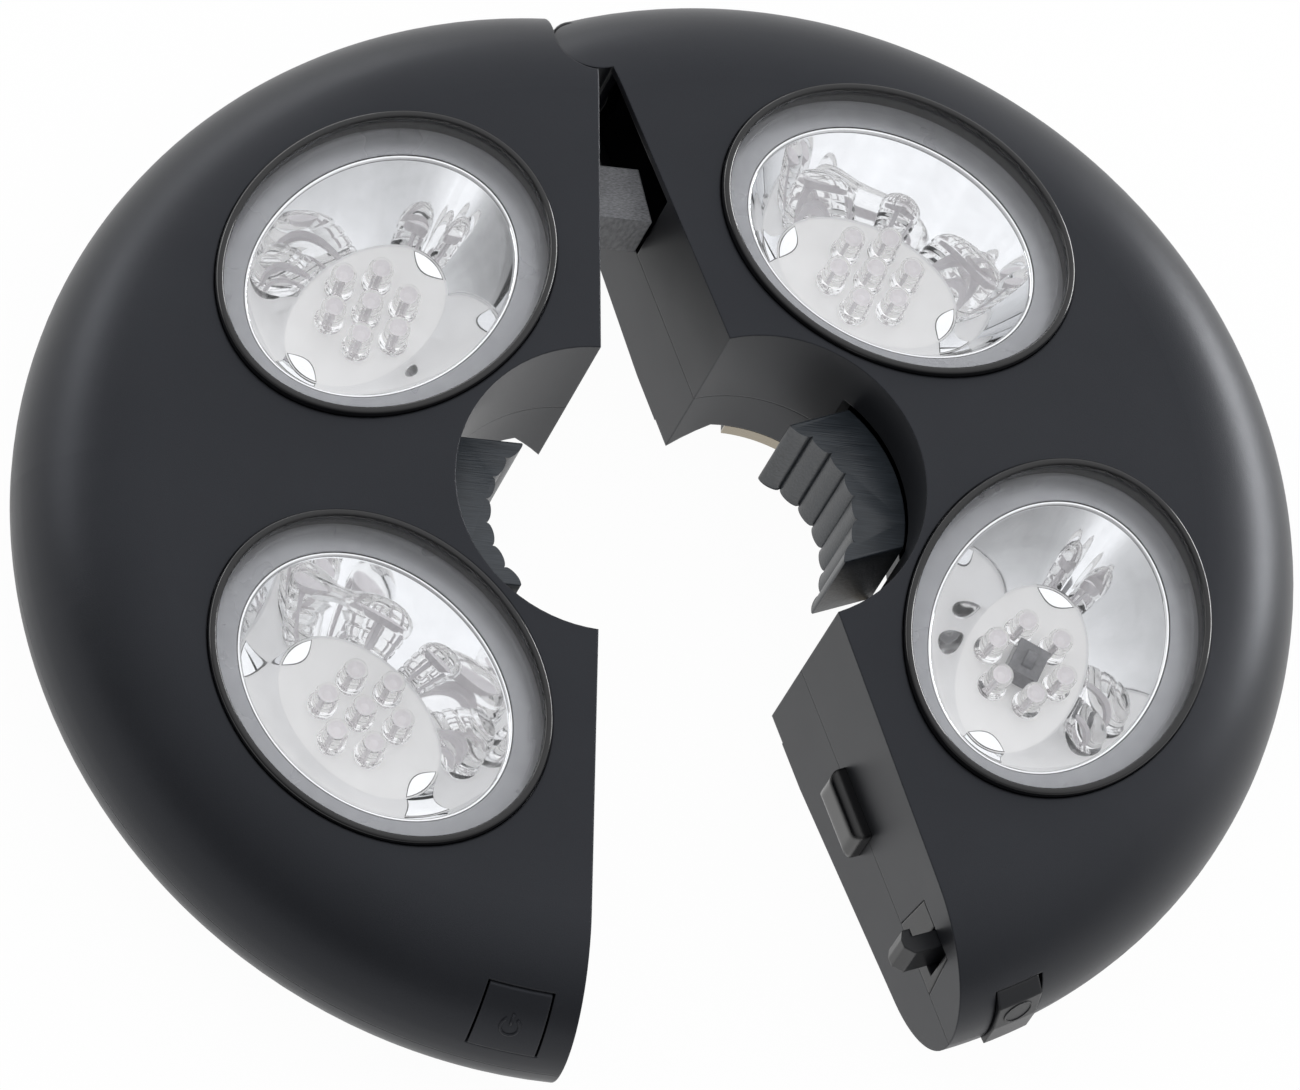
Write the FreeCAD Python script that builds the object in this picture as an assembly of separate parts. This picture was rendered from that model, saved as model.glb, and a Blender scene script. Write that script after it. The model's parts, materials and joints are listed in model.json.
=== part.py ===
import FreeCAD, Part
import math
import os

# Clamp-on umbrella light: a ring in two hinged halves that closes round a pole.
# Millimetres. +Z is the side the lamps shine from, and the ring lies on its back.
# The origin is the centre of the closed pole opening on the back plane.
# Each half is built in its own closed place with x growing away from the parting
# plane, from the centre of that half's bore. place() then sets it left or right.

V = FreeCAD.Vector
UP = V(0, 0, 1)

# ---- ring section ----
outer_radius = 111.5
bore_radius = 30.0
front_height = 52.7
seam_height = 23.7
front_drop = 0.06
rest_radius = 46.0
back_rise = 0.11
wall = 2.2

# ---- halves and hinge ----
half_offset = 1.2
parting_gap = 0.3
open_angle = 21.4
hinge_y = outer_radius - 11.5
knuckle_radius = 7.6
knuckle_gap = 0.4
knuckle_end_gap = 0.3
hinge_pin_radius = 2.0
hinge_pin_clearance = 0.06
hinge_cover = 3.0

# ---- lamps ----
lens_distance = (bore_radius + outer_radius) / 2 - 8.75
lens_angle = 45.0
lens_major = 35.2
lens_minor = 28.7
lens_thickness = 2.0
lens_skirt = 1.6
lens_clearance = 0.15
bezel_width = 1.7
bezel_height = 1.2
bezel_lip = 0.6
bezel_foot = 2.0
flange_depth = 5.5
flange_thickness = 1.2
flange_width = 4.0
mouth_margin = 5.6
reflector_wall = 1.2
bowl_bottom_major = 19.0
bowl_bottom_minor = 12.2
bowl_lean = 0.7
board_depth = front_height - 29.7
board_thickness = 1.6
board_margin = 2.2
led_radius = 2.5
led_collar_radius = 2.9
led_collar_height = 1.0
led_height = 8.7
led_ring_radius = 7.6
led_ring_count = 6
clip_length = 6.0
clip_thickness = 1.2
clip_angle = 40.0
receiver_width = 7.2
receiver_length = 6.6
receiver_height = 5.2

# ---- grip pads ----
pad_inner_radius = 19.2
pad_outer_radius = 30.0
pad_half_width = 15.2
pad_length = 26.0
pad_rib_count = 7
pad_groove_depth = 1.5
pad_travel = 4.0
pad_stem_radius = 2.5
pad_stem_length = 2.4
window_gap = 1.6
leaf_gap = 0.2
leaf_thickness = 0.5
leaf_arm_height = 3.5
leaf_arm_low = 5.4
leaf_half_angle = 68.0
leaf_anchor_angle = 6.0
leaf_plate_half_angle = 24.0
recess_depth = 9.5
recess_radius = 36.0
recess_start = 1.0
recess_lean = 0.77

# ---- wire guard arm ----
arm_low_y = hinge_y - 35.1
arm_width = 11.1
arm_low_z = seam_height + 0.5
arm_height = front_height - arm_low_z - 14.2
arm_reach = 13.3
arm_end_lean = 2.8
arm_inside = 12.0
arm_wall = 2.8
arm_fit = 0.2
pocket_low_y = hinge_y - 37.9
pocket_length = 29.9

# ---- locating peg ----
peg_y = -(bore_radius + 30.0)
peg_length = 15.0
peg_width = 10.0
peg_low_z = seam_height - 7.2
peg_proud = 3.6
peg_root = 4.0
peg_round = 2.0
peg_gap = 0.4

# ---- latch ----
latch_pivot_x = 6.05
latch_pivot_y = 8.0 - outer_radius
latch_pin_radius = 1.2
latch_pin_clearance = 0.06
latch_hub_radius = 2.3
latch_hub_low = seam_height + 3.3
latch_hub_height = 6.0
latch_stem_width = 3.6
latch_tail_width = 4.0
latch_side_gap = 0.3
latch_pin_bite = 2.5
hook_top_y = latch_pivot_y + 10.6
hook_thickness = 3.5
hook_low_z = seam_height + 4.8
hook_height = 10.0
hook_reach = 7.0
hook_barb = 1.6
hook_barb_length = 2.4
hook_travel = 1.6
guide_top_y = hook_top_y + 7.5
guide_bottom_y = hook_top_y - 7.7
guide_lean = 1.4
guide_gap = 0.2
hook_slot_gap = 0.5
button_angle = -82.4
button_half_angle = 2.5
button_low_z = seam_height - 4.5
button_high_z = front_height - 16.5
button_proud = 1.5
button_bevel = 2.6
button_inner_radius = outer_radius - 7.0
button_gap = 0.3
button_swing_gap = 1.0
latch_spring_radius = 1.8
latch_spring_wire = 0.35
latch_spring_turns = 4
latch_spring_length = 7.0

# ---- power tab and its switch ----
tab_angle = -82.5
tab_half_angle = 3.45
tab_root_z = seam_height + 5.9
tab_free_z = front_height - 10.3
tab_slot = 0.5
tab_root_gap = 0.05
tab_post_radius = 1.8
tab_post_z = tab_root_z + 7.4
tab_post_tip_y = 18.1 - outer_radius
tab_stroke_gap = 0.5
control_board_y = 27.5 - outer_radius
control_board_thickness = 1.6
control_board_low_x = 6.0
control_board_width = 26.0
control_board_low_z = seam_height - 3.0
control_board_height = tab_post_z + 3.7 - control_board_low_z
board_rib = 1.4
board_fit = 0.1
switch_width = 6.0
switch_depth = 4.0
switch_plunger_radius = 1.6

# ---- batteries ----
cell_radius = 7.1
cell_length = 49.0
cell_nub_radius = 2.75
cell_nub_length = 1.3
cell_pitch = 15.4
tray_x = lens_distance + 7.0
cell_z = 14.2
cell_gap = 0.4
contact_room = 3.6
contact_thickness = 0.4
contact_half_width = 5.0
tray_wall = 1.2
door_gap = 0.2
door_tab_half_width = 5.0
door_screw_offset = 4.1
door_screw_sink = 1.4
door_tab_length = 7.0

# ---- case screws ----
post_radius = 3.9
post_ring_radius = outer_radius - 12.0
screw_radius = 1.4
screw_head_radius = 2.6
screw_head_height = 1.8
screw_depth = 8.0
screw_bite = 9.0
screw_clearance = 0.3
cross_reach = 1.6
cross_width = 0.6
cross_depth = 0.8
hinge_side_post = (22.0, hinge_y - 8.0)
latch_side_post = (8.5, 34.5 - outer_radius)

reach = 300.0
front_angle = math.atan(front_drop)
back_angle = math.atan(back_rise)
part_x = half_offset + parting_gap / 2
inner_x = part_x + wall


# ---- small helpers ----
def box(x0, x1, y0, y1, z0, z1):
    return Part.makeBox(x1 - x0, y1 - y0, z1 - z0, V(x0, y0, z0))


def post(x, y, radius, z0, z1):
    return Part.makeCylinder(radius, z1 - z0, V(x, y, z0))


def polygon_face(points):
    return Part.Face(Part.makePolygon(points + [points[0]]))


def plan_prism(points, z0, z1):
    face = polygon_face([V(x, y, z0) for x, y in points])
    return face.extrude(V(0, 0, z1 - z0))


def polar(radius, degrees, z=0.0):
    angle = math.radians(degrees)
    return V(radius * math.cos(angle), radius * math.sin(angle), z)


def sector(inner, outer, start, end, z0, z1):
    """Part of a flat ring between two polar angles in degrees."""
    middle = (start + end) / 2
    edges = [
        Part.LineSegment(polar(inner, start, z0), polar(outer, start, z0)).toShape(),
        Part.Arc(polar(outer, start, z0), polar(outer, middle, z0), polar(outer, end, z0)).toShape(),
        Part.LineSegment(polar(outer, end, z0), polar(inner, end, z0)).toShape(),
        Part.Arc(polar(inner, end, z0), polar(inner, middle, z0), polar(inner, start, z0)).toShape(),
    ]
    return Part.Face(Part.Wire(edges)).extrude(V(0, 0, z1 - z0))


def oval(major, minor, z0, z1):
    edge = Part.Ellipse(V(0, 0, z0), major, minor).toShape()
    return Part.Face(Part.Wire(edge)).extrude(V(0, 0, z1 - z0))


def fused(shapes):
    first = shapes[0]
    return first.multiFuse(shapes[1:]).removeSplitter() if len(shapes) > 1 else first


def moved(shape, placement):
    copy = shape.copy()
    copy.Placement = placement.multiply(copy.Placement)
    return copy


def place(shape, side):
    """Put a half's piece where it belongs: left is mirrored, right is swung open."""
    copy = shape.copy()
    copy.translate(V(-half_offset, 0, 0))
    if side == "left":
        return copy.mirror(V(0, 0, 0), V(1, 0, 0))
    copy.rotate(V(0, hinge_y, 0), UP, open_angle)
    return copy


def save(name, shape):
    solids = shape.Solids
    result = solids[0] if len(solids) == 1 else Part.makeCompound(solids)
    result.exportStep(os.path.join("parts", name + ".step"))
    print(name, len(solids), round(result.Volume, 1), result.isValid())


# ---- ring section ----
def front_z(radius):
    return front_height - front_drop * (radius - bore_radius)


def front_round():
    """Radius of the arc from the sloping front to the upright rim."""
    height = front_z(outer_radius) - seam_height
    return math.cos(front_angle) * height / (1 - math.cos(front_angle) * front_drop)


def back_z(radius):
    return max(0.0, back_rise * (radius - rest_radius))


def back_round():
    """Radius of the arc from the sloping back to the upright rim."""
    height = seam_height - back_z(outer_radius)
    return math.cos(back_angle) * height / (1 - math.cos(back_angle) * back_rise)


def rim_radius(z, inset=0.0):
    """Radius of the rim at a height, on the skin or an inset of it."""
    rounding = front_round() if z >= seam_height else back_round()
    centre = outer_radius - rounding
    return centre + math.sqrt((rounding - inset) ** 2 - (z - seam_height) ** 2)


def ring(inset):
    """Solid of revolution of the whole ring's section, moved inwards by inset."""
    front_arc = front_round()
    back_arc = back_round()
    front_centre = outer_radius - front_arc
    back_centre = outer_radius - back_arc
    top_arc = front_arc - inset
    low_arc = back_arc - inset
    half_front = (math.pi / 2 - front_angle) / 2
    half_back = (math.pi / 2 - back_angle) / 2
    bore = bore_radius + inset
    bend = rest_radius + (inset - inset / math.cos(back_angle)) / back_rise
    low_bore = V(bore, 0, inset)
    top_bore = V(bore, 0, front_z(bore) - inset / math.cos(front_angle))
    top_tangent = V(front_centre + top_arc * math.sin(front_angle), 0,
                    seam_height + top_arc * math.cos(front_angle))
    top_middle = V(front_centre + top_arc * math.cos(half_front), 0,
                   seam_height + top_arc * math.sin(half_front))
    rim = V(outer_radius - inset, 0, seam_height)
    low_middle = V(back_centre + low_arc * math.cos(half_back), 0,
                   seam_height - low_arc * math.sin(half_back))
    low_tangent = V(back_centre + low_arc * math.sin(back_angle), 0,
                    seam_height - low_arc * math.cos(back_angle))
    low_bend = V(bend, 0, inset)
    edges = [
        Part.LineSegment(low_bore, top_bore).toShape(),
        Part.LineSegment(top_bore, top_tangent).toShape(),
        Part.Arc(top_tangent, top_middle, rim).toShape(),
        Part.Arc(rim, low_middle, low_tangent).toShape(),
        Part.LineSegment(low_tangent, low_bend).toShape(),
        Part.LineSegment(low_bend, low_bore).toShape(),
    ]
    return Part.Face(Part.Wire(edges)).revolve(V(0, 0, 0), UP, 360)


full_ring = ring(0)
inner_ring = ring(wall)


def half_space(x0):
    return box(x0, reach, -reach, reach, -reach, reach)


cavity_space = inner_ring.common(half_space(inner_x))
skin = full_ring.cut(inner_ring).common(half_space(part_x))


# ---- places that repeat ----
def lamp_placement(row):
    """Frame of a lamp: x along the ring, y outwards down the cone, z out of the lens."""
    angle = math.radians(lens_angle * row)
    outwards = V(math.cos(angle), math.sin(angle), 0)
    down_cone = outwards * math.cos(front_angle) - UP * math.sin(front_angle)
    normal = outwards * math.sin(front_angle) + UP * math.cos(front_angle)
    along = down_cone.cross(normal)
    origin = outwards * lens_distance + UP * front_z(lens_distance)
    return FreeCAD.Placement(origin, FreeCAD.Rotation(along, down_cone, normal, "ZXY"))


def post_places():
    diagonal = post_ring_radius * math.cos(math.radians(lens_angle))
    return [(post_ring_radius, 0.0), (diagonal, diagonal), (diagonal, -diagonal),
            hinge_side_post, latch_side_post]


def recess(extra):
    """Space cut under the bore's edge for the leaf spring, or its walls with extra."""
    band = post(0, 0, recess_radius + extra, -1, recess_depth + extra)
    top = recess_depth + extra
    slant = polygon_face([V(recess_start - recess_lean - extra, -reach, -1),
                          V(recess_start + recess_lean * top - extra, -reach, top),
                          V(reach, -reach, top), V(reach, -reach, -1)])
    return band.common(slant.extrude(V(0, 2 * reach, 0)))


def leaf_space():
    """The back recess without the two blocks that hold the ends of the leaf spring."""
    inner = pad_outer_radius + leaf_gap + leaf_thickness
    space = recess(0)
    for sign in (1, -1):
        ends = sorted((sign * (leaf_half_angle - leaf_anchor_angle), sign * leaf_half_angle))
        block = sector(inner, recess_radius + 1, ends[0], ends[1], leaf_arm_low, recess_depth + 1)
        space = space.cut(block)
    return space


def pad_window():
    half = pad_half_width + window_gap
    low = recess_depth - 1
    high = seam_height + pad_length / 2 + window_gap
    depth = pad_outer_radius + leaf_gap + leaf_thickness + pad_travel + window_gap / 2
    near = math.sqrt(bore_radius ** 2 - half ** 2) - 1
    pocket = post(0, 0, depth, low, high)
    return pocket.common(box(near, depth + 1, -half, half, low, high))


def peg_block(gap, depth_in, depth_out):
    low = peg_low_z - gap
    high = peg_low_z + peg_width + gap
    half = peg_length / 2 + gap
    return box(part_x - depth_out, part_x + depth_in, peg_y - half, peg_y + half, low, high)


def hinge_cylinder(radius, z0, z1):
    return post(half_offset, hinge_y, radius, z0, z1)


def notch_space(grow, z0, z1):
    """Round notch for the other half's knuckle, open to the rim."""
    radius = knuckle_radius + knuckle_gap + grow
    round_part = hinge_cylinder(radius, z0, z1)
    way_out = box(half_offset - 1, half_offset + radius, hinge_y, hinge_y + reach, z0, z1)
    return round_part.fuse(way_out)


# ---- shells ----
def pocket_space():
    """Opening in the right parting wall, up to the front skin, that takes the arm."""
    opening = box(0, inner_x, pocket_low_y, pocket_low_y + pocket_length, 0, front_height)
    return opening.common(inner_ring)


def lens_hole():
    gap = bezel_width + lens_clearance
    return oval(lens_major + gap, lens_minor + gap, -2 * flange_depth, 2 * flange_depth)


def button_space():
    start = button_angle - button_half_angle
    end = button_angle + button_half_angle
    slack = math.degrees(button_gap / outer_radius)
    swing = math.degrees(button_swing_gap / outer_radius)
    return sector(button_inner_radius - wall, outer_radius + 2 * button_proud, start - slack,
                  end + swing, button_low_z - button_gap, button_high_z + button_gap)


def hook_opening():
    """Catch hole in the left parting wall, long enough for the barb to pass."""
    low_y = hook_top_y - hook_thickness - hook_barb - hook_slot_gap
    return box(0, inner_x + wall, low_y, hook_top_y + hook_barb + hook_slot_gap,
               hook_low_z - hook_slot_gap, hook_low_z + hook_height + hook_slot_gap)


def guide_outline(gap):
    """Trapezoid in the parting wall round the hook, from the seam upwards."""
    low = seam_height
    high = hook_low_z + hook_height + hook_slot_gap + gap
    points = [V(part_x, guide_top_y + gap, low), V(part_x, guide_top_y - guide_lean + gap, high),
              V(part_x, guide_bottom_y + guide_lean - gap, high), V(part_x, guide_bottom_y - gap, low)]
    return polygon_face(points).extrude(V(wall, 0, 0))


def boss_columns(radius, z0, z1):
    return [post(x, y, radius, z0, z1) for x, y in post_places()]


def back_skin_z(x, y):
    """Height of the outside of the back at a place."""
    radius = math.hypot(x, y)
    rounding = back_round()
    centre = outer_radius - rounding
    if radius < centre:
        return back_z(radius)
    return seam_height - math.sqrt(rounding ** 2 - (radius - centre) ** 2)


def shell(low, high, knuckle, solids, cuts):
    """Hollow half between two heights. Solids stay filled in the hollow."""
    region = half_space(part_x)
    if knuckle:
        region = region.fuse(knuckle)
    outside = full_ring.common(region).common(box(-reach, reach, -reach, reach, low, high))
    hollow = cavity_space
    for solid in solids:
        hollow = hollow.cut(solid)
    body = outside.cut(hollow)
    for cut in cuts:
        body = body.cut(cut)
    return body


def front_shell(side):
    solids = boss_columns(post_radius, 0, front_height)
    cuts = boss_columns(screw_radius, 0, seam_height + screw_bite)
    cuts += [moved(lens_hole(), lamp_placement(row)) for row in (1, -1)]
    cuts.append(pad_window())
    knuckle = None
    if side == "left":
        solids.append(notch_space(wall, 0, front_height))
        cuts.append(notch_space(0, 0, front_height))
        cuts.append(arm_hole())
        cuts.append(hook_opening())
        cuts.append(tab_space(tab_slot, tab_root_z - tab_root_gap))
        cuts.append(peg_block(peg_gap, wall + 1, 1))
    else:
        knuckle = hinge_cylinder(knuckle_radius, seam_height + knuckle_end_gap, front_height)
        solids.append(hinge_cylinder(knuckle_radius, 0, front_height))
        low = latch_hub_low + latch_hub_height + latch_side_gap
        solids.append(post(latch_pivot_x, latch_pivot_y, latch_boss_radius(), low, front_height))
        cuts.append(hinge_cylinder(hinge_pin_radius + hinge_pin_clearance, 0, hinge_pin_top()))
        cuts.append(pocket_space())
        cuts.append(guide_outline(guide_gap))
        cuts.append(button_space())
        cuts.append(peg_block(0, wall + 1, 1))
        cuts.append(post(latch_pivot_x, latch_pivot_y, latch_pin_radius, 0, latch_pin_top()))
    return shell(seam_height, front_height + 1, knuckle, solids, cuts)


def back_shell(side):
    solids = boss_columns(post_radius, 0, front_height) + [recess(wall), door_boss_block()]
    if side == "left":
        solids.append(board_block(board_rib))
    cuts = [leaf_space(), pad_window(), door_space(door_gap), door_screw_hole()]
    cuts += boss_columns(screw_radius + screw_clearance, -1, seam_height + 1)
    for x, y in post_places():
        seat = back_skin_z(x, y) + screw_depth
        cuts.append(post(x, y, screw_head_radius + screw_clearance, -1, seat))
    knuckle = None
    if side == "left":
        top = seam_height - knuckle_end_gap
        knuckle = hinge_cylinder(knuckle_radius, 0, top)
        solids.append(hinge_cylinder(knuckle_radius, 0, front_height))
        cuts.append(hinge_cylinder(knuckle_radius + knuckle_gap, top, front_height))
        cuts.append(hinge_cylinder(hinge_pin_radius, hinge_pin_low(), seam_height))
        cuts.append(peg_block(peg_gap, wall + 1, 1))
        cuts.append(control_board(board_fit))
    else:
        solids.append(notch_space(wall, 0, front_height))
        solids.append(post(latch_pivot_x, latch_pivot_y, latch_boss_radius(), 0, front_height))
        solids.append(spring_seat_block())
        cuts.append(notch_space(0, -1, seam_height + 1))
        cuts.append(button_space())
        cuts.append(peg_block(0, wall + 1, 1))
        cuts.append(post(latch_pivot_x, latch_pivot_y, latch_pin_radius, latch_pin_low(), front_height))
    return shell(-1, seam_height, knuckle, solids, cuts)


# ---- hinge ----
def hinge_pin_low():
    return back_skin_z(0, hinge_y) + hinge_cover


def hinge_pin_top():
    rounding = front_round()
    out = hinge_y - (outer_radius - rounding)
    return seam_height + math.sqrt(rounding ** 2 - out ** 2) - hinge_cover


def hinge_pin():
    return hinge_cylinder(hinge_pin_radius, hinge_pin_low(), hinge_pin_top() - knuckle_end_gap)


# ---- wire guard arm ----
def arm_hole():
    return box(0, inner_x + 1, arm_low_y - arm_fit, arm_low_y + arm_width + arm_fit,
               seam_height - 1, arm_low_z + arm_height + arm_fit)


def wire_guard_arm():
    """Hollow arm that carries the wires across the parting gap."""
    tip = half_offset - arm_reach
    high_y = arm_low_y + arm_width
    points = [(tip, arm_low_y), (tip + arm_end_lean, high_y), (arm_inside, high_y),
              (arm_inside, arm_low_y)]
    bar = plan_prism(points, arm_low_z, arm_low_z + arm_height)
    collar = box(inner_x, inner_x + arm_wall, arm_low_y - arm_wall, high_y + arm_wall,
                 arm_low_z, arm_low_z + arm_height + arm_wall)
    channel = box(tip - 1, arm_inside + 1, arm_low_y + arm_wall, high_y - arm_wall,
                  arm_low_z + arm_wall, arm_low_z + arm_height - arm_wall)
    return bar.fuse(collar).cut(channel)


# ---- lamps ----
def bezel(row):
    """Glossy ring set in the shell's oval hole, with a foot under the front wall."""
    edge = lens_clearance
    ring_top = oval(lens_major + bezel_width, lens_minor + bezel_width, -flange_depth, bezel_height)
    foot = oval(lens_major + bezel_width + bezel_foot, lens_minor + bezel_width + bezel_foot,
                -flange_depth, 0)
    seat = oval(lens_major + bezel_lip + edge, lens_minor + bezel_lip + edge, -flange_depth - 1, -edge)
    mouth = oval(lens_major, lens_minor, -flange_depth, bezel_height + 1)
    frame = lamp_placement(row)
    foot = moved(foot, frame).common(inner_ring)
    body = moved(ring_top, frame).fuse(foot)
    return body.cut(moved(seat, frame)).cut(moved(mouth, frame))


def clip_boxes(gap, low, high):
    """Four snap clips near the quarters of the oval."""
    boxes = []
    for turn in (clip_angle, 180 - clip_angle, 180 + clip_angle, 360 - clip_angle):
        angle = math.radians(turn)
        x = (lens_major - lens_skirt) * math.cos(angle)
        y = (lens_minor - lens_skirt) * math.sin(angle)
        slope = math.degrees(math.atan2(lens_minor * math.cos(angle), -lens_major * math.sin(angle)))
        half = clip_length / 2 + gap
        clip = box(-half, half, -clip_thickness / 2 - gap, clip_thickness / 2 + gap, low, high)
        clip.rotate(V(0, 0, 0), UP, slope)
        clip.translate(V(x, y, 0))
        boxes.append(clip)
    return boxes


def lens(row):
    """Clear cover with a skirt that stands on the reflector's flange."""
    top = -2 * lens_clearance
    major = lens_major + bezel_lip
    minor = lens_minor + bezel_lip
    plate = oval(major, minor, -flange_depth, top)
    hollow = oval(major - lens_skirt, minor - lens_skirt, -flange_depth - 1, top - lens_thickness)
    clips = clip_boxes(0, -flange_depth - flange_thickness - 1, top - lens_thickness)
    return moved(fused([plate.cut(hollow)] + clips), lamp_placement(row))


def bowl(extra, low):
    """Bowl-shaped solid between the mouth and the board."""
    depth = board_depth - flange_depth
    wires = []
    for step in (0.0, 0.12, 0.35, 0.65, 1.0):
        bend = 1 - bowl_lean
        share = (math.sqrt(bowl_lean ** 2 + 4 * bend * step) - bowl_lean) / (2 * bend)
        major = bowl_bottom_major + (lens_major - mouth_margin - bowl_bottom_major) * share + extra
        minor = bowl_bottom_minor + (lens_minor - mouth_margin - bowl_bottom_minor) * share + extra
        z = -board_depth + depth * step
        wires.append(Part.Wire(Part.Ellipse(V(0, 0, z), major, minor).toShape()))
    shape = Part.makeLoft(wires, True, False)
    if low > 0:
        shape = shape.fuse(oval(bowl_bottom_major + extra, bowl_bottom_minor + extra, -board_depth - low,
                                -board_depth))
        shape = shape.fuse(oval(lens_major - mouth_margin + extra, lens_minor - mouth_margin + extra,
                                -flange_depth, -flange_depth + low))
    return shape


def reflector(row):
    outside = bowl(reflector_wall, 0)
    flange = oval(lens_major + flange_width, lens_minor + flange_width,
                  -flange_depth - flange_thickness, -flange_depth)
    body = outside.fuse(flange).cut(bowl(0, 1))
    for slot in clip_boxes(lens_clearance, -flange_depth - 2 * flange_thickness, 0):
        body = body.cut(slot)
    placed = moved(body, lamp_placement(row))
    return placed.common(cavity_space)


def led_board(row):
    board = oval(bowl_bottom_major + board_margin, bowl_bottom_minor + board_margin,
                 -board_depth - board_thickness, -board_depth)
    return moved(board, lamp_placement(row))


def led(x, y):
    """Clear round-topped lamp standing on the board."""
    low = -board_depth
    dome_z = low + led_height - led_radius
    collar = post(x, y, led_collar_radius, low, low + led_collar_height)
    barrel = post(x, y, led_radius, low, dome_z)
    dome = Part.makeSphere(led_radius, V(x, y, dome_z))
    return fused([collar, barrel, dome])


def led_group(row, with_centre):
    lamps = [led(0, 0)] if with_centre else []
    for index in range(led_ring_count):
        spot = polar(led_ring_radius, 90 + index * 360 / led_ring_count)
        lamps.append(led(spot.x, spot.y))
    return moved(Part.makeCompound(lamps), lamp_placement(row))


def remote_receiver(row):
    low = -board_depth
    half = receiver_width / 2
    body = box(-half, half, -receiver_length / 2, receiver_length / 2, low, low + receiver_height)
    window = Part.makeCylinder(receiver_width / 4, receiver_length / 3,
                               V(0, -receiver_length / 6, low + receiver_height), V(0, 1, 0))
    return moved(body.fuse(window), lamp_placement(row))


# ---- grip pads ----
def pad_section(z):
    """Ribbed inner edge on one arc, smooth outer edge on another, level ends."""
    spread = math.degrees(math.asin(pad_half_width / (pad_inner_radius + pad_groove_depth)))
    pitch = 2 * spread / pad_rib_count
    groove = pad_inner_radius + pad_groove_depth
    edges = []
    for rib in range(pad_rib_count):
        start = -spread + rib * pitch
        edges.append(Part.Arc(polar(groove, start, z), polar(pad_inner_radius, start + pitch / 2, z),
                              polar(groove, start + pitch, z)).toShape())
    outer_spread = math.degrees(math.asin(pad_half_width / pad_outer_radius))
    upper = polar(pad_outer_radius, outer_spread, z)
    lower = polar(pad_outer_radius, -outer_spread, z)
    edges.append(Part.LineSegment(polar(groove, spread, z), upper).toShape())
    edges.append(Part.Arc(upper, polar(pad_outer_radius, 0, z), lower).toShape())
    edges.append(Part.LineSegment(lower, polar(groove, -spread, z)).toShape())
    return Part.Face(Part.Wire(edges))


def grip_pad():
    low = seam_height - pad_length / 2
    block = pad_section(low).extrude(V(0, 0, pad_length))
    stem = Part.makeCylinder(pad_stem_radius, pad_stem_length + 1, V(pad_outer_radius - 1, 0, seam_height),
                             V(1, 0, 0))
    return block.fuse(stem)


def pad_leaf_spring():
    """Steel leaf: arms across the back recess and a plate behind the pad."""
    inner = pad_outer_radius + leaf_gap
    outer = inner + leaf_thickness
    arms = sector(inner, outer, -leaf_half_angle, leaf_half_angle, leaf_arm_low,
                  leaf_arm_low + leaf_arm_height)
    plate = sector(inner, outer, -leaf_plate_half_angle, leaf_plate_half_angle, leaf_arm_low,
                   seam_height + pad_length / 4)
    hole = Part.makeCylinder(pad_stem_radius + leaf_gap, 2 * leaf_thickness + 2, V(inner - 1, 0, seam_height),
                             V(1, 0, 0))
    return arms.fuse(plate).cut(hole)


# ---- locating peg ----
def locating_peg():
    block = peg_block(0, peg_root, peg_proud)
    front = [edge for edge in block.Edges if edge.CenterOfMass.x < part_x]
    return block.makeFillet(peg_round, front)


# ---- latch ----
def latch_pin_top():
    return latch_hub_low + latch_hub_height + latch_pin_bite


def latch_pin_low():
    return seam_height - 2 * latch_pin_bite


def latch_boss_radius():
    return latch_hub_radius + latch_side_gap


def latch_pin():
    return post(latch_pivot_x, latch_pivot_y, latch_pin_radius, latch_pin_low(), latch_pin_top())


def latch_lever():
    tip = half_offset - hook_reach
    bottom = hook_top_y - hook_thickness
    arm_end = latch_pivot_x + latch_stem_width / 2
    hook = plan_prism([(tip, bottom + hook_thickness / 2), (tip, hook_top_y),
                       (tip + hook_barb_length - hook_barb, hook_top_y + hook_barb),
                       (tip + hook_barb_length, hook_top_y + hook_barb),
                       (tip + hook_barb_length, hook_top_y), (arm_end, hook_top_y),
                       (arm_end, bottom), (tip + hook_thickness / 2, bottom)],
                      hook_low_z, hook_low_z + hook_height)
    stem = box(arm_end - latch_stem_width, arm_end, latch_pivot_y, bottom + 1, hook_low_z,
               latch_hub_low + latch_hub_height)
    hub = post(latch_pivot_x, latch_pivot_y, latch_hub_radius, latch_hub_low,
               latch_hub_low + latch_hub_height)
    middle = polar(button_inner_radius, button_angle)
    half = button_inner_radius * math.sin(math.radians(button_half_angle))
    tail = box(latch_pivot_x, middle.x + half, middle.y - latch_tail_width, middle.y + latch_tail_width,
               latch_hub_low, latch_hub_low + latch_hub_height)
    tail = tail.common(post(0, 0, button_inner_radius, 0, front_height))
    hole = post(latch_pivot_x, latch_pivot_y, latch_pin_radius + latch_pin_clearance, 0, front_height)
    return fused([hook, stem, hub, tail]).cut(hole)


def release_button():
    start = button_angle - button_half_angle
    face = outer_radius + button_proud / 2
    points = [V(button_inner_radius, 0, button_low_z),
              V(face, 0, button_low_z),
              V(face, 0, seam_height + button_bevel),
              V(rim_radius(button_high_z - button_bevel) + button_proud, 0, button_high_z - button_bevel),
              V(rim_radius(button_high_z), 0, button_high_z),
              V(button_inner_radius, 0, button_high_z)]
    block = polygon_face(points).revolve(V(0, 0, 0), UP, 2 * button_half_angle)
    block.rotate(V(0, 0, 0), UP, start)
    return block


def latch_guide():
    high = hook_top_y + hook_slot_gap
    low = hook_top_y - hook_thickness - hook_travel - hook_slot_gap
    hole = box(part_x - 1, inner_x + 1, low, high, hook_low_z - hook_slot_gap,
               hook_low_z + hook_height + hook_slot_gap)
    return guide_outline(0).cut(hole)


def latch_spring_end():
    """Middle of the button's inner face, low down where the spring pushes."""
    return polar(button_inner_radius, button_angle, seam_height - latch_spring_radius - latch_side_gap)


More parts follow.
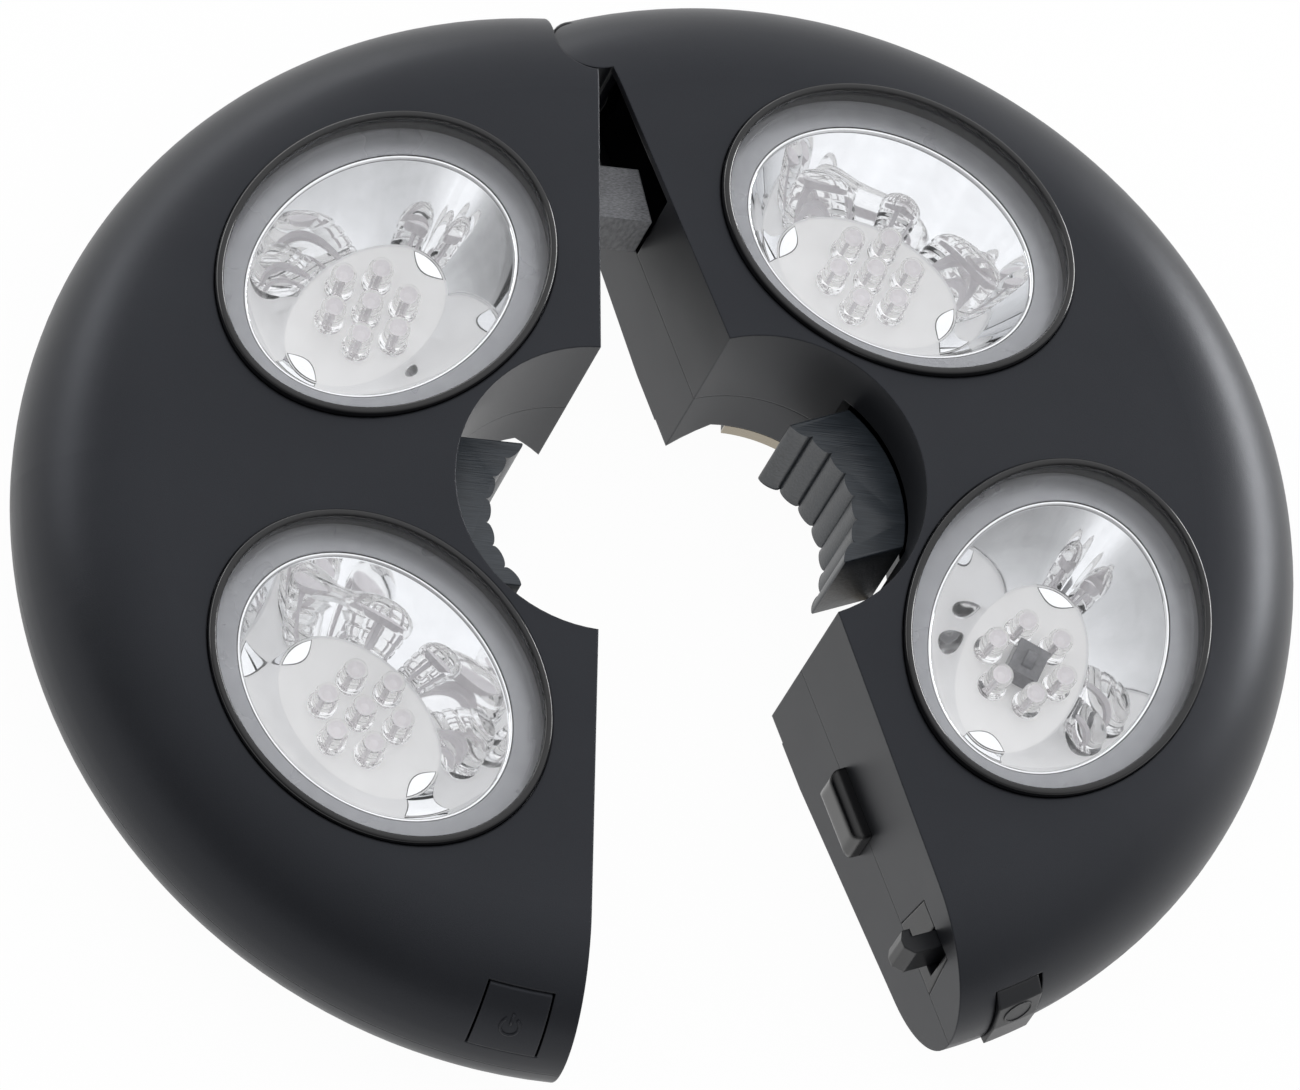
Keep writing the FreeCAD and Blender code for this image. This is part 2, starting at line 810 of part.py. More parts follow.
def spring_seat_block():
    end = latch_spring_end()
    half = latch_spring_radius + latch_side_gap
    return box(end.x - half, end.x + half, end.y + latch_spring_length, end.y + latch_spring_length + wall, 0,
               front_height)


def latch_spring():
    """Coil between the seat on the back shell and the button's inner face."""
    end = latch_spring_end()
    middle = latch_spring_radius - latch_spring_wire
    face = math.sqrt((button_inner_radius - latch_side_gap) ** 2 - (end.x + latch_spring_radius) ** 2)
    low = latch_spring_wire
    high = face + end.y + latch_spring_length - latch_spring_wire
    path = Part.makeHelix((high - low) / latch_spring_turns, high - low, middle)
    ring_wire = Part.Wire(Part.Circle(V(middle, 0, 0), V(0, 1, 0), latch_spring_wire).toShape())
    coil = Part.Wire(path.Edges).makePipeShell([ring_wire], True, True)
    coil.rotate(V(0, 0, 0), V(1, 0, 0), 90)
    coil.translate(V(end.x, end.y + latch_spring_length - low, end.z))
    return coil


# ---- power tab ----
def tab_space(gap, low):
    slack = math.degrees(gap / outer_radius)
    inner = rim_radius(tab_free_z, wall) - 2 * wall
    return sector(inner, outer_radius + wall, tab_angle - tab_half_angle - slack,
                  tab_angle + tab_half_angle + slack, low, tab_free_z + gap)


def power_tab():
    flap = skin.common(tab_space(0, tab_root_z))
    middle_x = polar(outer_radius, tab_angle).x
    inner_y = -math.sqrt(rim_radius(tab_post_z, wall / 2) ** 2 - middle_x ** 2)
    stem = Part.makeCylinder(tab_post_radius, tab_post_tip_y - inner_y, V(middle_x, inner_y, tab_post_z),
                             V(0, 1, 0))
    return flap.fuse(stem)


def control_board(gap):
    """Upright board, or the groove that its lower edge stands in."""
    high = control_board_low_x + control_board_width
    return box(control_board_low_x - gap, high + gap, control_board_y - control_board_thickness - gap,
               control_board_y + gap, control_board_low_z, control_board_low_z + control_board_height)


def board_block(grow):
    """Rib on the back shell that the control board stands in."""
    high = control_board_low_x + control_board_width
    return box(control_board_low_x - grow, high + grow, control_board_y - control_board_thickness - grow,
               control_board_y + grow, 0, seam_height)


def power_switch():
    middle_x = polar(outer_radius, tab_angle).x
    face = control_board_y - control_board_thickness
    half = switch_width / 2
    body = box(middle_x - half, middle_x + half, face - switch_depth, face, tab_post_z - half,
               tab_post_z + half)
    tip = tab_post_tip_y + tab_stroke_gap
    plunger = Part.makeCylinder(switch_plunger_radius, face - switch_depth - tip,
                                V(middle_x, tip, tab_post_z), V(0, 1, 0))
    return body.fuse(plunger)


# ---- batteries ----
def tray_bounds():
    half_x = cell_pitch / 2 + cell_radius + cell_gap
    half_y = cell_length / 2 + cell_nub_length + contact_room
    return tray_x - half_x, tray_x + half_x, half_y


def door_screw_x():
    return tray_bounds()[1] + door_screw_offset


def door_space(gap):
    low, high, half_y = tray_bounds()
    main = box(low - gap, high + gap, -half_y - gap, half_y + gap, -1, cell_z)
    tab = box(high - 1, high + door_tab_length + gap, -door_tab_half_width - gap,
              door_tab_half_width + gap, -1, cell_z)
    return main.fuse(tab).common(full_ring.cut(inner_ring))


def battery_door():
    hole = post(door_screw_x(), 0, screw_radius + screw_clearance, -1, cell_z)
    well = post(door_screw_x(), 0, screw_head_radius + screw_clearance, -1, door_screw_seat())
    return door_space(0).cut(hole).cut(well)


def door_screw_hole():
    return post(door_screw_x(), 0, screw_radius, -1, door_screw_top() + 1)


def door_screw_seat():
    return back_z(door_screw_x()) + door_screw_sink


def door_screw_top():
    return cell_z + cell_radius - 1


def door_boss_block():
    high = tray_bounds()[1]
    return box(high + tray_wall, high + door_tab_length + wall, -door_tab_half_width - wall,
               door_tab_half_width + wall, 0, cell_z + cell_radius + screw_clearance)


def battery_tray():
    low, high, half_y = tray_bounds()
    top = cell_z + cell_radius + cell_gap
    outside = box(low - tray_wall, high + tray_wall, -half_y - tray_wall, half_y + tray_wall, 0,
                  top + tray_wall)
    inside = box(low, high, -half_y, half_y, -1, top)
    return outside.cut(inside).common(inner_ring)


def cell_places():
    return [(tray_x - cell_pitch / 2, 1), (tray_x + cell_pitch / 2, -1)]


def batteries():
    cells = []
    for x, way in cell_places():
        start = V(x, -way * cell_length / 2, cell_z)
        body = Part.makeCylinder(cell_radius, cell_length, start, V(0, way, 0))
        nub = Part.makeCylinder(cell_nub_radius, cell_nub_length, V(x, way * cell_length / 2, cell_z),
                                V(0, way, 0))
        cells.append(body.fuse(nub))
    return Part.makeCompound(cells)


def battery_contacts():
    """Sprung tongue at each cell's flat end and a flat plate at its nub end."""
    half_y = tray_bounds()[2]
    pieces = []
    for x, way in cell_places():
        wide = contact_half_width
        low = cell_z - wide
        high = cell_z + wide
        end = way * half_y
        plate = box(x - wide, x + wide, min(end, end - way * contact_thickness),
                    max(end, end - way * contact_thickness), low, high)
        foot = way * (cell_length / 2 + cell_nub_length)
        button = Part.makeCylinder(cell_nub_radius, abs(end - foot), V(x, foot, cell_z), V(0, way, 0))
        pieces.append(plate.fuse(button))
        back = -end
        base = box(x - wide, x + wide, min(back, back + way * contact_thickness),
                   max(back, back + way * contact_thickness), low, high)
        cone_length = half_y - cell_length / 2
        cone = Part.makeCone(wide - contact_thickness, cell_nub_radius, cone_length, V(x, back, cell_z),
                             V(0, way, 0))
        pieces.append(base.fuse(cone))
    return Part.makeCompound(pieces)


# ---- screws ----
def screw(x, y, head_z, length):
    """Screw driven upwards, with a cross in its head."""
    low = head_z - screw_head_height
    half = cross_width / 2
    head = post(x, y, screw_head_radius, low, head_z)
    cross = box(x - cross_reach, x + cross_reach, y - half, y + half, low, low + cross_depth)
    other = box(x - half, x + half, y - cross_reach, y + cross_reach, low, low + cross_depth)
    return head.fuse(post(x, y, screw_radius, head_z, head_z + length)).cut(cross).cut(other)


def case_screws():
    screws = []
    for x, y in post_places():
        seat = back_skin_z(x, y) + screw_depth
        screws.append(screw(x, y, seat, seam_height + screw_bite - 1 - seat))
    return Part.makeCompound(screws)


def door_screw():
    return screw(door_screw_x(), 0, door_screw_seat(), door_screw_top() - door_screw_seat())


# ---- everything ----
def main():
    os.makedirs("parts", exist_ok=True)
    shapes = {}
    for side in ("left", "right"):
        shapes[side + "_front_shell"] = front_shell(side)
        shapes[side + "_back_shell"] = back_shell(side)
        shapes[side + "_battery_door"] = battery_door()
        shapes[side + "_battery_tray"] = battery_tray()
        shapes[side + "_batteries"] = batteries()
        shapes[side + "_battery_contacts"] = battery_contacts()
        shapes[side + "_door_screw"] = door_screw()
        shapes[side + "_case_screws"] = case_screws()
        shapes[side + "_grip_pad"] = grip_pad()
        shapes[side + "_pad_leaf_spring"] = pad_leaf_spring()
        for row, level in ((1, "upper"), (-1, "lower")):
            label = level + "_" + side + "_"
            has_receiver = side == "right" and level == "lower"
            shapes[label + "bezel"] = bezel(row)
            shapes[label + "lens"] = lens(row)
            shapes[label + "reflector"] = reflector(row)
            shapes[label + "led_board"] = led_board(row)
            shapes[label + "leds"] = led_group(row, not has_receiver)
    for name, shape in shapes.items():
        save(name, place(shape, "left" if "left" in name else "right"))
    save("remote_receiver", place(remote_receiver(-1), "right"))
    save("hinge_pin", place(hinge_pin(), "left"))
    save("wire_guard_arm", place(wire_guard_arm(), "left"))
    save("power_tab", place(power_tab(), "left"))
    save("control_board", place(control_board(0), "left"))
    save("power_switch", place(power_switch(), "left"))
    save("locating_peg", place(locating_peg(), "right"))
    save("latch_lever", place(latch_lever(), "right"))
    save("latch_pin", place(latch_pin(), "right"))
    save("latch_spring", place(latch_spring(), "right"))
    save("release_button", place(release_button(), "right"))
    save("latch_guide", place(latch_guide(), "right"))


main()
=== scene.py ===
import json
import math

import bmesh
import bpy
from mathutils import Matrix, Vector


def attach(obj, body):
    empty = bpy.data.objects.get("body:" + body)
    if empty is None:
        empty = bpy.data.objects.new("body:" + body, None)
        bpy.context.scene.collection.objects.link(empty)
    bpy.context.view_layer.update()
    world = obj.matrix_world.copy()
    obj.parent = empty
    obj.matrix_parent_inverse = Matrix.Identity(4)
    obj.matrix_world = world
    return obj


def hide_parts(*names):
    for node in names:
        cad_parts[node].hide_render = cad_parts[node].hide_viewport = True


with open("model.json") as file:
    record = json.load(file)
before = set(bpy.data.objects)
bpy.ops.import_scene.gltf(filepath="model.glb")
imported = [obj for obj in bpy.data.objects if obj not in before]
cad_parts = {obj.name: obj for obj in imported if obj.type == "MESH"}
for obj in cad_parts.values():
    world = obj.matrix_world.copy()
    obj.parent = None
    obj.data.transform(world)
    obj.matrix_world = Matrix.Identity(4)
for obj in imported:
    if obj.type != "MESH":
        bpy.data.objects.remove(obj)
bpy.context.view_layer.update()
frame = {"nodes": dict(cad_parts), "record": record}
nodes = frame["nodes"]

# ---- sizes shared with the solids, in metres ----
half_offset = 0.0012
hinge_y = 0.100
open_angle = math.radians(21.4)
outer_radius = 0.1115
bore_radius = 0.030
front_height = 0.0527
seam_height = 0.0237
front_drop = 0.06
front_angle = math.atan(front_drop)
front_round = math.cos(front_angle) * (front_height - front_drop * (outer_radius - bore_radius)
                                       - seam_height) / (1 - math.cos(front_angle) * front_drop)
rim_centre = outer_radius - front_round
lens_distance = 0.062
lens_major = 0.0352
lens_minor = 0.0287
flange_depth = 0.0055
mouth_margin = 0.0056
board_depth = 0.023
board_major = 0.019
board_minor = 0.0122
bowl_lean = 0.7
bezel_width = 0.0017
bezel_height = 0.0012
led_radius = 0.0025
led_height = 0.0087
led_ring = 0.0076
tab_angle = -82.5
button_angle = -82.4
button_proud = 0.0015
button_bevel = 0.0026
button_top = front_height - 0.0165
pad_inner_radius = 0.0192
pad_groove = 0.0012
pad_back_radius = 0.0299
pad_half_width = 0.0152
pad_half_height = 0.013
pad_ribs = 7
lamps = [(side, level) for side in ("left", "right") for level in ("upper", "lower")]


# ---- places ----
def half_to_world(side, point):
    """From a half's own closed place to where that half is stored."""
    x, y, z = point
    x -= half_offset
    if side == "left":
        return Vector((-x, y, z))
    dy = y - hinge_y
    c = math.cos(open_angle)
    s = math.sin(open_angle)
    return Vector((x * c - dy * s, hinge_y + x * s + dy * c, z))


def lamp_frame(level):
    """Origin, long axis, downhill axis and normal of a lamp's oval on the front cone."""
    angle = math.radians(45 if level == "upper" else -45)
    out = Vector((math.cos(angle), math.sin(angle), 0))
    up = Vector((0, 0, 1))
    down_cone = out * math.cos(front_angle) - up * math.sin(front_angle)
    normal = out * math.sin(front_angle) + up * math.cos(front_angle)
    along = down_cone.cross(normal)
    height = front_height - front_drop * (lens_distance - bore_radius)
    return out * lens_distance + up * height, along, down_cone, normal


def lamp_to_world(side, level, point):
    origin, along, down_cone, normal = lamp_frame(level)
    x, y, z = point
    return half_to_world(side, origin + along * x + down_cone * y + normal * z)


def rim_radius(z):
    """Radius of the rounded rim at a height above the seam."""
    return rim_centre + math.sqrt(front_round ** 2 - (z - seam_height) ** 2)


# ---- mesh helpers ----
def make_object(name, verts, faces, body, material, smooth=True):
    mesh = bpy.data.meshes.new(name)
    mesh.from_pydata([tuple(v) for v in verts], [], faces)
    bm = bmesh.new()
    bm.from_mesh(mesh)
    bmesh.ops.recalc_face_normals(bm, faces=bm.faces)
    bm.to_mesh(mesh)
    bm.free()
    for face in mesh.polygons:
        face.use_smooth = smooth
    obj = bpy.data.objects.new(name, mesh)
    bpy.context.collection.objects.link(obj)
    obj.data.materials.append(material)
    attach(obj, body)
    return obj


def ring_faces(rings, count, closed=False):
    """Faces between neighbouring rings of count points, and from the last to the first if closed."""
    faces = []
    for ring in range(rings if closed else rings - 1):
        near = ring * count
        far = (ring + 1) % rings * count
        for i in range(count):
            j = (i + 1) % count
            faces.append((near + i, near + j, far + j, far + i))
    return faces


def oval_loop(profile, count):
    """Oval lathe of a closed profile of (major, minor, z)."""
    verts = []
    for major, minor, z in profile:
        for i in range(count):
            a = 2 * math.pi * i / count
            verts.append((major * math.cos(a), minor * math.sin(a), z))
    return verts, ring_faces(len(profile), count, closed=True)


def lathe(profile, count, x, y, base):
    """Round lathe whose profile of (radius, z) begins and ends on the axis."""
    verts = [(x, y, base + profile[0][1])]
    faces = []
    for radius, z in profile[1:-1]:
        for i in range(count):
            a = 2 * math.pi * i / count
            verts.append((x + radius * math.cos(a), y + radius * math.sin(a), base + z))
    verts.append((x, y, base + profile[-1][1]))
    rings = len(profile) - 2
    for face in ring_faces(rings, count):
        faces.append(tuple(1 + i for i in face))
    last = 1 + (rings - 1) * count
    for i in range(count):
        j = (i + 1) % count
        faces.append((0, 1 + j, 1 + i))
        faces.append((last + i, last + j, len(verts) - 1))
    return verts, faces


def prism(outline, top, bottom):
    """Upright prism on a plan outline."""
    count = len(outline)
    verts = [(x, y, z) for z in (top, bottom) for x, y in outline]
    faces = [tuple(range(count)), tuple(range(count, 2 * count))] + ring_faces(2, count)
    return verts, faces


def block(x0, x1, y0, y1, z0, z1):
    return prism([(x0, y0), (x1, y0), (x1, y1), (x0, y1)], z1, z0)


def gather(parts):
    """Several pieces of (verts, faces) as one."""
    verts = []
    faces = []
    for more, sides in parts:
        shift = len(verts)
        verts += more
        faces += [tuple(i + shift for i in face) for face in sides]
    return verts, faces


# ---- material helpers ----
def new_material(name):
    mat = bpy.data.materials.new(name)
    mat.use_nodes = True
    tree = mat.node_tree
    tree.nodes.clear()
    out = tree.nodes.new("ShaderNodeOutputMaterial")
    return mat, tree, out


def add(tree, kind, **settings):
    node = tree.nodes.new(kind)
    for key, value in settings.items():
        setattr(node, key, value)
    return node


def maths(tree, operation, first, second):
    """Math node of two inputs, each a socket or a number."""
    node = add(tree, "ShaderNodeMath", operation=operation)
    for socket, value in zip(node.inputs, (first, second)):
        if isinstance(value, float):
            socket.default_value = value
        else:
            tree.links.new(value, socket)
    return node.outputs[0]


def mix_shaders(tree, share, first, second):
    """Mix of two shader nodes by a share that is a socket or a number."""
    node = add(tree, "ShaderNodeMixShader")
    if isinstance(share, float):
        node.inputs["Fac"].default_value = share
    else:
        tree.links.new(share, node.inputs["Fac"])
    tree.links.new(first.outputs[0], node.inputs[1])
    tree.links.new(second.outputs[0], node.inputs[2])
    return node


def noise_of(tree, coords, scale, detail=3.0, rough=0.6, stretch=None):
    source = coords
    if stretch:
        mapping = add(tree, "ShaderNodeMapping")
        mapping.inputs["Scale"].default_value = stretch
        tree.links.new(coords, mapping.inputs["Vector"])
        source = mapping.outputs["Vector"]
    noise = add(tree, "ShaderNodeTexNoise")
    noise.inputs["Scale"].default_value = scale
    noise.inputs["Detail"].default_value = detail
    noise.inputs["Roughness"].default_value = rough
    tree.links.new(source, noise.inputs["Vector"])
    return noise.outputs["Fac"]


def ramp_of(tree, value, low, dark, high, light):
    """Colour that goes from dark at low to light at high."""
    ramp = add(tree, "ShaderNodeValToRGB")
    for element, place, colour in zip(ramp.color_ramp.elements, (low, high), (dark, light)):
        element.position = place
        element.color = tuple(colour) + (1,)
    tree.links.new(value, ramp.inputs["Fac"])
    return ramp.outputs["Color"]


def mottle(tree, value, colour, depth):
    """The colour with patches that are darker by the depth."""
    return ramp_of(tree, value, 0.3, tuple(c * depth for c in colour), 0.7, colour)


def ranged(tree, value, low, high):
    node = add(tree, "ShaderNodeMapRange")
    node.inputs["To Min"].default_value = low
    node.inputs["To Max"].default_value = high
    tree.links.new(value, node.inputs["Value"])
    return node.outputs["Result"]


def relief(tree, height, strength, distance):
    node = add(tree, "ShaderNodeBump")
    node.inputs["Strength"].default_value = strength
    node.inputs["Distance"].default_value = distance
    tree.links.new(height, node.inputs["Height"])
    return node


def seam_line(tree, coords, colour):
    """Thin dark joint where the front and back shells meet."""
    half_width = 0.00016
    joint_colour = (0.0005, 0.0005, 0.0006, 1)
    split = add(tree, "ShaderNodeSeparateXYZ")
    tree.links.new(coords, split.inputs[0])
    away = maths(tree, "SUBTRACT", split.outputs[2], seam_height)
    size = add(tree, "ShaderNodeMath", operation="ABSOLUTE")
    tree.links.new(away, size.inputs[0])
    inside = maths(tree, "LESS_THAN", size.outputs[0], half_width)
    mix = add(tree, "ShaderNodeMix", data_type="RGBA")
    tree.links.new(inside, mix.inputs["Factor"])
    tree.links.new(colour, mix.inputs[6])
    mix.inputs[7].default_value = joint_colour
    return mix.outputs[2]


def plastic(name, dark, light, rough, grain=5200, bump=0.12, soft=0.0005, specular=0.5,
            gloss_tint=(1.0, 1.0, 1.0), streak=None, metallic=0.0, seam=False):
    """Moulded surface: mottled colour, fine grain, broad roughness change, soft edges."""
    mat, tree, out = new_material(name)
    link = tree.links.new
    shader = add(tree, "ShaderNodeBsdfPrincipled")
    shader.inputs["Specular IOR Level"].default_value = specular
    shader.inputs["Specular Tint"].default_value = gloss_tint + (1,)
    shader.inputs["Metallic"].default_value = metallic
    coords = add(tree, "ShaderNodeTexCoord").outputs["Object"]
    broad = noise_of(tree, coords, 38, 4)
    fine = noise_of(tree, coords, grain, 2, 0.5, streak)
    average = maths(tree, "MULTIPLY", maths(tree, "ADD", broad, fine), 0.5)
    colour = ramp_of(tree, average, 0.32, dark, 0.68, light)
    if seam:
        colour = seam_line(tree, coords, colour)
    link(colour, shader.inputs["Base Color"])
    link(ranged(tree, broad, rough[0], rough[1]), shader.inputs["Roughness"])
    bumper = relief(tree, fine, bump, 0.0002)
    if soft:
        edge = add(tree, "ShaderNodeBevel", samples=6)
        edge.inputs["Radius"].default_value = soft
        link(edge.outputs["Normal"], bumper.inputs["Normal"])
    link(bumper.outputs["Normal"], shader.inputs["Normal"])
    link(shader.outputs["BSDF"], out.inputs["Surface"])
    return mat


def metal(name, colour, low, high, bump=0.02):
    """Plated or polished metal with faint ripples and smears."""
    mat, tree, out = new_material(name)
    link = tree.links.new
    shader = add(tree, "ShaderNodeBsdfPrincipled")
    shader.inputs["Metallic"].default_value = 1.0
    coords = add(tree, "ShaderNodeTexCoord").outputs["Object"]
    broad = noise_of(tree, coords, 160, 3)
    wave = noise_of(tree, coords, 55, 1)
    link(mottle(tree, broad, colour, 0.94), shader.inputs["Base Color"])
    link(ranged(tree, broad, low, high), shader.inputs["Roughness"])
    bumper = relief(tree, wave, bump, 0.001)
    link(bumper.outputs["Normal"], shader.inputs["Normal"])
    link(shader.outputs["BSDF"], out.inputs["Surface"])
    return mat


def outer_gloss(tree, index):
    """Fresnel share of the light on outer faces only, so that sky light reaches what is inside."""
    fresnel = add(tree, "ShaderNodeFresnel")
    fresnel.inputs["IOR"].default_value = index
    back = add(tree, "ShaderNodeNewGeometry").outputs["Backfacing"]
    front = maths(tree, "SUBTRACT", 1.0, back)
    return maths(tree, "MULTIPLY", fresnel.outputs[0], front)


def thin_clear(name, tint, haze):
    """Thin clear moulding: light passes straight through, with gloss by the Fresnel law."""
    mat, tree, out = new_material(name)
    link = tree.links.new
    through = add(tree, "ShaderNodeBsdfTransparent")
    gloss = add(tree, "ShaderNodeBsdfGlossy")
    milk = add(tree, "ShaderNodeBsdfDiffuse")
    milk.inputs["Color"].default_value = (0.8, 0.82, 0.84, 1)
    coords = add(tree, "ShaderNodeTexCoord").outputs["Object"]
    smear = noise_of(tree, coords, 90, 4)
    link(mottle(tree, smear, tint, 0.97), through.inputs["Color"])
    link(ranged(tree, smear, 0.02, 0.06), gloss.inputs["Roughness"])
    body = mix_shaders(tree, haze, through, milk)
    top = mix_shaders(tree, outer_gloss(tree, 1.45), body, gloss)
    link(top.outputs[0], out.inputs["Surface"])
    return mat


def led_clear(name, colour):
    """Clear cast body that bends what is seen through it and lets the light down to the board."""
    mat, tree, out = new_material(name)
    link = tree.links.new
    coords = add(tree, "ShaderNodeTexCoord").outputs["Object"]
    swirl = noise_of(tree, coords, 800, 2)
    glass = add(tree, "ShaderNodeBsdfPrincipled")
    glass.inputs["Transmission Weight"].default_value = 1.0
    glass.inputs["IOR"].default_value = 1.43
    link(mottle(tree, swirl, colour, 0.98), glass.inputs["Base Color"])
    link(ranged(tree, swirl, 0.02, 0.06), glass.inputs["Roughness"])
    straight = add(tree, "ShaderNodeBsdfTransparent")
    path = add(tree, "ShaderNodeLightPath").outputs
    passing = maths(tree, "MAXIMUM", path["Is Shadow Ray"], path["Is Diffuse Ray"])
    body = mix_shaders(tree, passing, glass, straight)
    link(body.outputs[0], out.inputs["Surface"])
    return mat


# ---- materials ----
matt_black = ((0.0075, 0.0080, 0.0098), (0.0125, 0.0132, 0.0158))
gloss_black = ((0.0025, 0.0025, 0.003), (0.005, 0.005, 0.006))
cool_gloss = (0.86, 0.90, 1.0)
shell_mat = plastic("shell_plastic", *matt_black, (0.33, 0.42), specular=0.31, gloss_tint=cool_gloss,
                    seam=True)
door_mat = plastic("door_plastic", *matt_black, (0.36, 0.46), specular=0.31, gloss_tint=cool_gloss)
inner_mat = plastic("inner_plastic", (0.008, 0.008, 0.009), (0.014, 0.014, 0.016), (0.5, 0.65),
                    specular=0.35)
rim_mat = plastic("rim_plastic", *gloss_black, (0.12, 0.20), grain=2500, bump=0.02, soft=0)
peg_mat = plastic("peg_plastic", *gloss_black, (0.12, 0.22), grain=2500, bump=0.03, soft=0.0016)
latch_mat = plastic("latch_plastic", (0.0085, 0.0090, 0.0108), (0.0140, 0.0148, 0.0172),
                    (0.28, 0.40), soft=0.0007, specular=0.3)
# The arm's colour is lightened far past its dark scuffed plastic. This is painted light, standing in
# for the light the arm misses in the shadow of the gap. The streaked grain is scuff wear.
arm_painted_light_mat = plastic("arm_plastic_painted_light", (0.080, 0.081, 0.088), (0.360, 0.365, 0.385), (0.32, 0.65),
                  grain=900, bump=0.5, streak=(1.6, 5.5, 0.6))
grip_mat = plastic("grip_rubber", (0.014, 0.0185, 0.0245), (0.050, 0.0600, 0.0720), (0.30, 0.46),
                   grain=1500, bump=0.35, soft=0, streak=(0.1, 2.4, 0.8))
board_mat = plastic("board_white", (0.90, 0.89, 0.88), (0.95, 0.945, 0.94), (0.25, 0.4),
                    bump=0.05, soft=0)
cell_mat = plastic("cell_sleeve", (0.30, 0.30, 0.31), (0.42, 0.42, 0.43), (0.25, 0.35))
receiver_mat = plastic("receiver_window", (0.16, 0.16, 0.17), (0.25, 0.25, 0.26), (0.12, 0.2),
                       grain=900, bump=0.03, soft=0.0004)
steel_mat = metal("spring_steel", (0.34, 0.30, 0.235), 0.22, 0.36)
screw_mat = metal("screw_zinc", (0.42, 0.42, 0.43), 0.25, 0.4)
mirror_mat = metal("plated_bowl", (0.93, 0.935, 0.945), 0.015, 0.04, 0.004)
lead_mat = plastic("lead_frame", (0.74, 0.71, 0.73), (0.86, 0.83, 0.85), (0.25, 0.4),
                   bump=0.02, soft=0)
# Dark grey for the plates around the floor's bright ends: painted shade of the groove around each
# end.
groove_shade_mat = plastic("groove_shade_plastic", (0.10, 0.10, 0.10), (0.16, 0.16, 0.16), (0.4, 0.5), soft=0)
flange_mat = plastic("plated_flange", (0.33, 0.335, 0.355), (0.385, 0.39, 0.41), (0.24, 0.32),
                     grain=400, bump=0.0, soft=0, metallic=0.35)
lens_mat = thin_clear("lens_clear", (0.995, 0.996, 0.998), 0.006)
led_mat = led_clear("led_clear", (1.0, 0.998, 0.992))

by_slot = {"shell": shell_mat, "door": door_mat, "inner_plastic": inner_mat, "cell": cell_mat,
           "contact": steel_mat, "screw": screw_mat, "grip": grip_mat, "spring": steel_mat,
           "bezel": rim_mat, "lens": lens_mat, "reflector": mirror_mat, "board": board_mat,
           "led": led_mat, "receiver": receiver_mat, "pin": screw_mat, "arm": arm_painted_light_mat,
           "peg": peg_mat, "latch": latch_mat, "button": latch_mat}
slots = {part["node"]: part["material_slot"] for part in frame["record"]["subparts"]}
for name, obj in nodes.items():
    obj.data.materials.clear()
    obj.data.materials.append(by_slot[slots[name]])


# ---- lamps ----
def lamp_piece(name, side, level, mesh, material, replaced=None, smooth=True):
    """Piece modelled in a lamp's own frame, which may replace that lamp's solid."""
    verts, faces = mesh
    points = [lamp_to_world(side, level, v) for v in verts]
    obj = make_object("{}_{}_{}".format(level, side, name), points, faces, side + "_half",
                      material, smooth)
    if replaced:
        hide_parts("{}_{}_{}".format(level, side, replaced))


def bowl_profile(steps):
    """Inner skin of the bowl from the floor up to the mouth."""
    rows = []
    for i in range(steps + 1):
        share = i / steps
        major = board_major + (lens_major - mouth_margin - board_major) * share
        minor = board_minor + (lens_minor - mouth_margin - board_minor) * share
        rise = bowl_lean * share + (1 - bowl_lean) * share ** 2
        rows.append((major, minor, -board_depth + (board_depth - flange_depth) * rise))
    return rows


def around_mouth(out, z):
    """Profile point at a distance outside the bowl's mouth."""
    return lens_major - mouth_margin + out, lens_minor - mouth_margin + out, z


def build_reflector(side, level):
    """Plated bowl, and the flange around its mouth."""
    wall = 0.0011
    lip = 0.0006
    edge = 0.0002
    flange_reach = mouth_margin + 0.002
    flange_under = -flange_depth - 0.001
    count = 144
    inner = bowl_profile(28)
    outside = [(major + wall, minor + wall, z - edge) for major, minor, z in reversed(inner[:-2])]
    bowl = inner + [around_mouth(lip, edge - flange_depth)] + outside
    lamp_piece("bowl", side, level, oval_loop(bowl, count), mirror_mat, "reflector")
    flange = [around_mouth(lip, -flange_depth), around_mouth(lip + edge, edge - flange_depth),
              around_mouth(flange_reach, -flange_depth), around_mouth(flange_reach, flange_under),
              around_mouth(lip + wall, flange_under)]
    lamp_piece("flange", side, level, oval_loop(flange, count), flange_mat,
               smooth=False)


def build_rim(side, level):
    """Rounded glossy ring with a foot that reaches down to the flange."""
    steps = 10
    fullness = 0.7
    edge_sink = 0.0004
    foot = 0.0009
    ledge = -0.0008
    points = []
    for i in range(steps + 1):
        a = math.pi * i / steps
        sink = edge_sink if i in (0, steps) else 0.0
        points.append((bezel_width / 2 * (1 - math.cos(a)),
                       bezel_height * math.sin(a) ** fullness - sink))
    points += [(bezel_width, -flange_depth), (foot, -flange_depth), (foot, ledge), (0.0, ledge)]
    rows = [(lens_major + out, lens_minor + out, z) for out, z in points]
    lamp_piece("rim", side, level, oval_loop(rows, 160), rim_mat, "bezel")


def led_spots(side, level):
    """Middle and ring of the diodes. The receiver takes the middle of the lower right lamp."""
    spots = [] if (side, level) == ("right", "lower") else [(0.0, 0.0)]
    for i in range(6):
        a = math.radians(90 + 60 * i)
        spots.append((led_ring * math.cos(a), led_ring * math.sin(a)))
    return spots


def led_profile():
    """Skirt, straight body with three shallow grooves, and dome of a diode."""
    base = 0.00005
    skirt = led_radius * 1.16
    groove = led_radius * 0.93
    groove_step = 0.0002
    dome_z = led_height - led_radius
    dome_steps = 8
    profile = [(0.0, base), (led_radius * 1.12, base), (skirt, 0.0003), (skirt, 0.0009),
               (led_radius * 1.08, 0.00105), (led_radius, 0.0011)]
    for low in (0.0024, 0.0038, 0.0052):
        for i, radius in enumerate((led_radius, groove, groove, led_radius)):
            profile.append((radius, low + i * groove_step))
    for i in range(dome_steps):
        a = math.pi / 2 * i / dome_steps
        profile.append((led_radius * math.cos(a), dome_z + led_radius * math.sin(a)))
    profile.append((0.0, led_height))
    return profile


